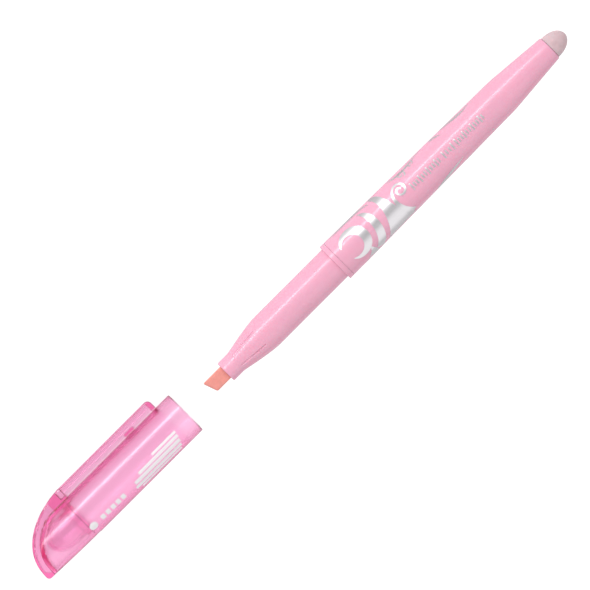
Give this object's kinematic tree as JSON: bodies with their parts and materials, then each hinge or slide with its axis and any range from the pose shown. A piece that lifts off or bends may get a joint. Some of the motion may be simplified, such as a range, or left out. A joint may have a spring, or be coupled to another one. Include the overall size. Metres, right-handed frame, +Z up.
{
  "type": "highlighter",
  "caption": "Slim chisel-nib highlighter with a pink barrel, an eraser dome on its tail, and a clear pink clip cap pulled off in line with the nib.",
  "frame": {"origin": "on the surface that the highlighter lies on, at the middle of its length and width, with the cap at its place in line ahead of the nib", "axes": "+X along the pen's axis from the cap and the nib to the eraser, +Z up from the surface, +Y to the side that the clip is on"},
  "size_m": [0.192, 0.0154, 0.0125],
  "materials": {
    "pink_plastic": "moulded polypropylene, glossy",
    "clear_plastic": "moulded clear polystyrene, polished, tinted pink",
    "felt": "hard bonded polyester felt, wet with ink",
    "fibre": "bundled polyester fibre soaked with ink",
    "film": "thin polypropylene film",
    "elastomer": "satin thermoplastic elastomer"
  },
  "bodies": {
    "pen": {"barrel": "pink_plastic", "front_section": "pink_plastic", "nib": "felt", "ink_reservoir": "fibre", "reservoir_film": "film", "eraser": "elastomer"},
    "cap": {"cap_shell": "clear_plastic", "inner_cap": "clear_plastic"},
    "clip": {"clip": "clear_plastic"}
  },
  "joints": [
    {"name": "cap_slide", "type": "slide", "parent": "pen", "child": "cap", "axis": [1, 0, 0], "range_m": [0, 0.0538]},
    {"name": "clip_flex", "type": "hinge", "parent": "cap", "child": "clip", "pos_m": [-0.07777, 0.00566, 0.00265], "axis": [0, 0.4495, 0.8933], "range_deg": [0, 3.5], "stiffness_Nm_per_rad": 1}
  ]
}
